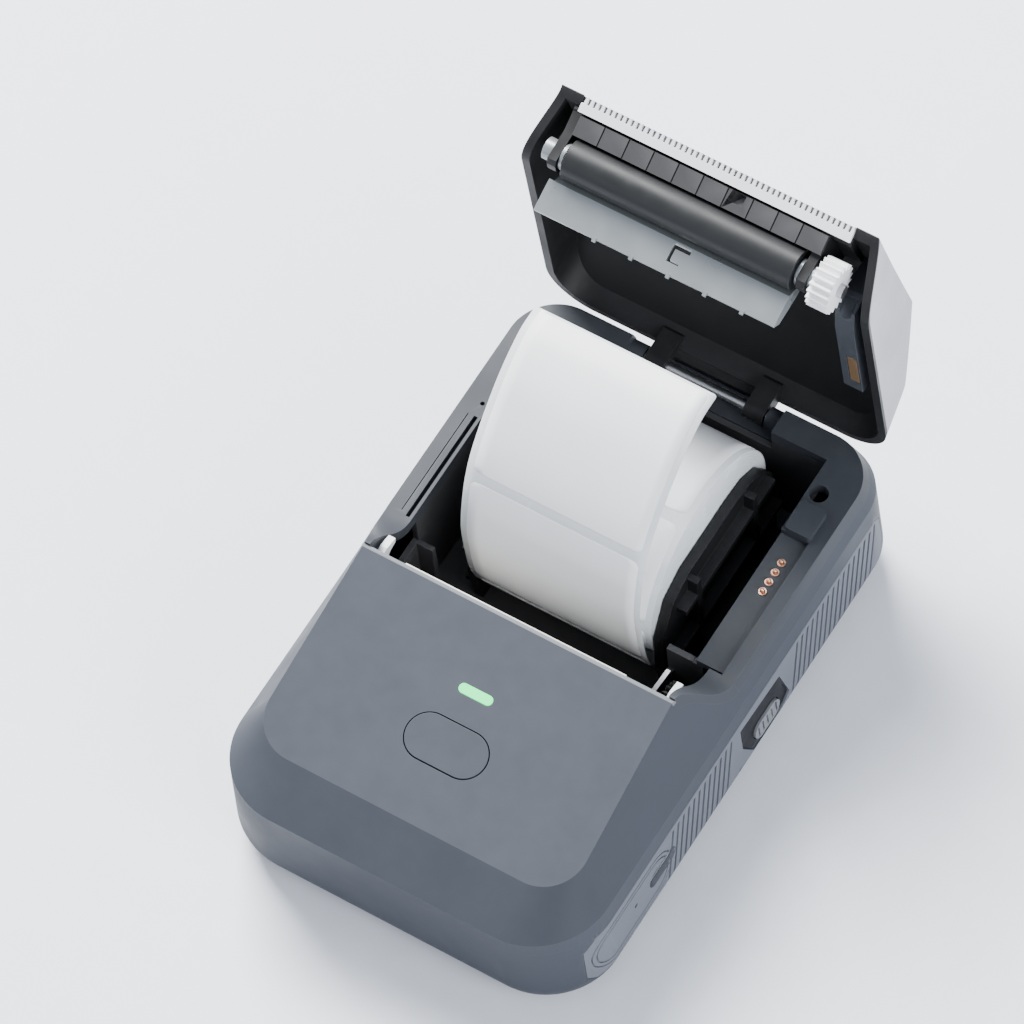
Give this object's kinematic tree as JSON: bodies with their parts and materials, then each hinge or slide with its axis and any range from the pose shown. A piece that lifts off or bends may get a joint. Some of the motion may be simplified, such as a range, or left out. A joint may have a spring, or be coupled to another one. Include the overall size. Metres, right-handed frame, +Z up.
{
  "type": "portable label printer",
  "caption": "Hand-sized direct thermal label printer with a hinged cover standing open over its roll bay",
  "frame": {"origin": "Centre of the flat base, on the table", "axes": "+X right, +Y to the rear where the cover is hinged, +Z up"},
  "size_m": [0.0888, 0.1509, 0.1051],
  "materials": {
    "case_plastic": "satin moulded, fine texture",
    "case_dark": "satin moulded",
    "bay_black": "fine texture",
    "grip_rubber": "matte",
    "release_black": "satin",
    "release_grey": "satin",
    "button_plastic": "satin",
    "light_green": "clear green",
    "cover_silver": "satin silver paint on plastic",
    "cover_black": "satin",
    "tear_white": "satin",
    "panel_grey": "satin",
    "guide_grey": "smooth",
    "platen_rubber": "ground smooth",
    "steel": "turned",
    "white_gear": "moulded",
    "hook_white": "moulded",
    "brass": "plated",
    "board_green": "solder mask",
    "chip_black": "moulded",
    "battery_wrap": "shrink wrap",
    "aluminium": "extruded",
    "ceramic": "glazed",
    "motor_steel": "plated",
    "gear_plastic": "moulded",
    "label_paper": "coated paper",
    "core_board": "wound paper board",
    "holder_black": "satin",
    "pad_copper": "aged pads",
    "sensor_white": "moulded"
  },
  "bodies": {
    "body": {"lower_case": "case_plastic", "upper_case": "case_plastic", "deck_frame": "case_dark", "paper_bay": "bay_black", "left_grip": "grip_rubber", "right_grip": "grip_rubber", "release_bezel": "release_black", "contact_plate": "case_dark", "contact_barrels": "brass", "light_pipe": "light_green", "key_board": "board_green", "main_board": "board_green", "board_parts": "chip_black", "battery_pack": "battery_wrap", "usb_port": "steel", "port_board": "board_green", "case_screws": "steel", "head_bracket": "steel", "head_springs": "steel", "head_sink": "aluminium", "print_head": "ceramic", "stepper_motor": "motor_steel", "gear_plate": "steel", "hinge_pin": "steel", "label_strip": "label_paper"},
    "cover": {"cover_shell": "cover_silver", "cover_liner": "cover_black", "tear_bar": "tear_white", "exit_plate": "panel_grey", "platen_frame": "cover_black", "guide_plate": "guide_grey", "media_sensor": "sensor_white", "bush_left": "guide_grey", "bush_right": "guide_grey", "contact_arm": "case_dark", "pad_board": "pad_copper"},
    "platen": {"platen_rubber": "platen_rubber", "platen_shaft": "steel", "platen_gear": "white_gear"},
    "power_key": {"power_button": "button_plastic"},
    "release": {"release_button": "release_grey"},
    "catch": {"latch_shaft": "steel", "hook_left": "hook_white", "hook_right": "hook_white", "release_lever": "chip_black"},
    "pins": {"contact_pins": "brass"},
    "pinion": {"motor_pinion": "brass"},
    "idler": {"idler_gear": "gear_plastic"},
    "drive": {"drive_gear": "holder_black"},
    "left_holder": {"holder_left": "holder_black", "hub_left": "holder_black", "rack_left": "holder_black"},
    "right_holder": {"holder_right": "holder_black", "hub_right": "holder_black", "rack_right": "holder_black"},
    "holder_gear": {"holder_pinion": "gear_plastic"},
    "roll": {"label_roll": "label_paper", "roll_core": "core_board"}
  },
  "joints": [
    {"name": "lid_hinge", "type": "hinge", "parent": "body", "child": "cover", "pos_m": [0, 0.0627, 0.0309], "axis": [1, 0, 0], "range_deg": [0, 85], "deforming": ["label_strip"]},
    {"name": "platen_spin", "type": "hinge", "parent": "cover", "child": "platen", "pos_m": [0, 0.06362, 0.09613], "axis": [1, 0, 0], "continuous": true},
    {"name": "power_press", "type": "slide", "parent": "body", "child": "power_key", "axis": [0, 0.2343, -0.9722], "range_m": [0, 0.0006], "stiffness_N_per_m": 600},
    {"name": "release_press", "type": "slide", "parent": "body", "child": "release", "axis": [-1, 0, 0], "range_m": [0, 0.0012], "stiffness_N_per_m": 500},
    {"name": "catch_turn", "type": "hinge", "parent": "body", "child": "catch", "pos_m": [0, -0.0115, 0.014], "axis": [1, 0, 0], "range_deg": [0, 4.1]},
    {"name": "pins_press", "type": "slide", "parent": "body", "child": "pins", "axis": [0, 0, -1], "range_m": [0, 0.0008], "stiffness_N_per_m": 200},
    {"name": "idler_spin", "type": "hinge", "parent": "body", "child": "idler", "pos_m": [0, -0.01541, 0.02459], "axis": [1, 0, 0], "continuous": true},
    {"name": "pinion_spin", "type": "hinge", "parent": "body", "child": "pinion", "pos_m": [0, -0.0225, 0.033], "axis": [1, 0, 0], "continuous": true},
    {"name": "drive_spin", "type": "hinge", "parent": "body", "child": "drive", "pos_m": [0, -0.0035, 0.0261], "axis": [1, 0, 0], "continuous": true},
    {"name": "left_slide", "type": "slide", "parent": "body", "child": "left_holder", "axis": [-1, 0, 0], "range_m": [0, 0.0065]},
    {"name": "right_slide", "type": "slide", "parent": "body", "child": "right_holder", "axis": [1, 0, 0], "range_m": [0, 0.0065]},
    {"name": "holder_gear_spin", "type": "hinge", "parent": "body", "child": "holder_gear", "pos_m": [-0.0019, 0.0305, 0.003], "axis": [0, 0, 1], "range_deg": [-94, 0]},
    {"name": "roll_spin", "type": "hinge", "parent": "body", "child": "roll", "pos_m": [-0.0019, 0.0305, 0.028], "axis": [1, 0, 0], "continuous": true}
  ],
  "couplings": [
    {"joint": "pinion_spin", "follows": "idler_spin", "ratio": -1.75},
    {"joint": "drive_spin", "follows": "idler_spin", "ratio": -1.4},
    {"joint": "catch_turn", "follows": "release_press", "rad_per_m": 58.178},
    {"joint": "right_slide", "follows": "left_slide", "ratio": 1},
    {"joint": "holder_gear_spin", "follows": "left_slide", "rad_per_m": -250}
  ]
}
